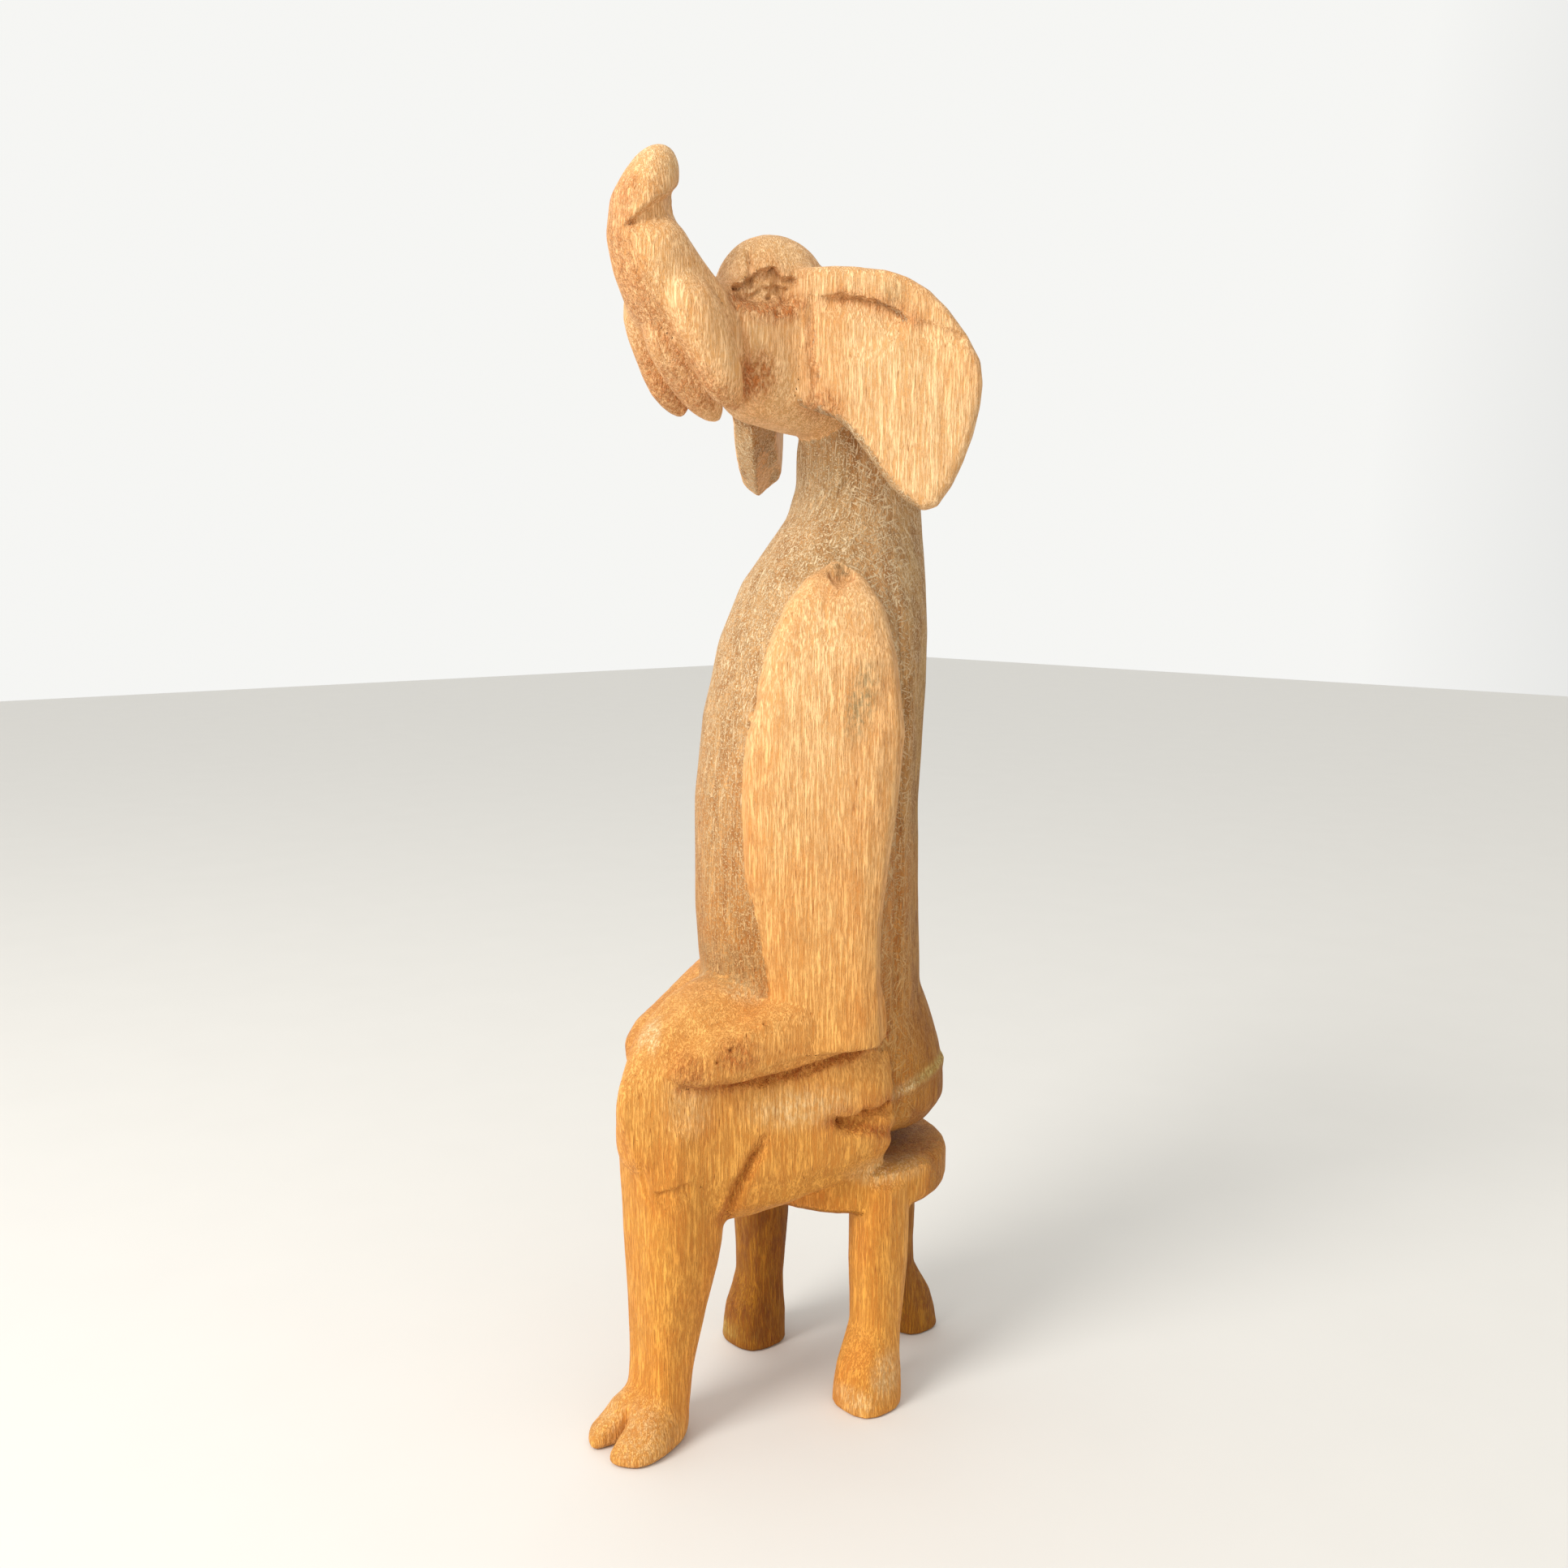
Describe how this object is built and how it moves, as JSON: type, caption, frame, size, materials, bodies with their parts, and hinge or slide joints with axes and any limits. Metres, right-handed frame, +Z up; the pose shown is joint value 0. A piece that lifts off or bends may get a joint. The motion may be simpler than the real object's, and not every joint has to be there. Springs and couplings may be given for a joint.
{
  "type": "seated elephant figurine",
  "caption": "Tall, slim elephant carved in wood, sitting upright on a round stool with flared legs, with its trunk raised, its ears spread and its hands on its thighs.",
  "frame": {"origin": "middle of the footprint's bounding box, on the surface that the figure stands on", "axes": "+Z up, -Y to the front, where the knees and the trunk point, +X to the figure's own left"},
  "size_m": [0.1042, 0.139, 0.3803],
  "materials": {
    "fresh_wood": "bare carved wood, satin, light tan heart with fine upright grain",
    "weathered_wood": "bare carved wood, satin, grey-brown outer wood with rasp marks"
  },
  "bodies": {
    "root": {"stool_seat": "weathered_wood", "stool_leg_left": "fresh_wood", "stool_leg_right": "weathered_wood", "stool_leg_back": "weathered_wood", "torso": "weathered_wood", "pelvis": "weathered_wood", "left_thigh": "fresh_wood", "right_thigh": "fresh_wood", "left_shin": "fresh_wood", "right_shin": "fresh_wood", "left_arm": "fresh_wood", "right_arm": "fresh_wood", "left_hand": "fresh_wood", "right_hand": "fresh_wood", "head": "fresh_wood", "trunk": "fresh_wood", "lower_lip": "fresh_wood", "left_tusk": "fresh_wood", "right_tusk": "fresh_wood", "left_ear": "fresh_wood", "right_ear": "fresh_wood"}
  },
  "joints": []
}
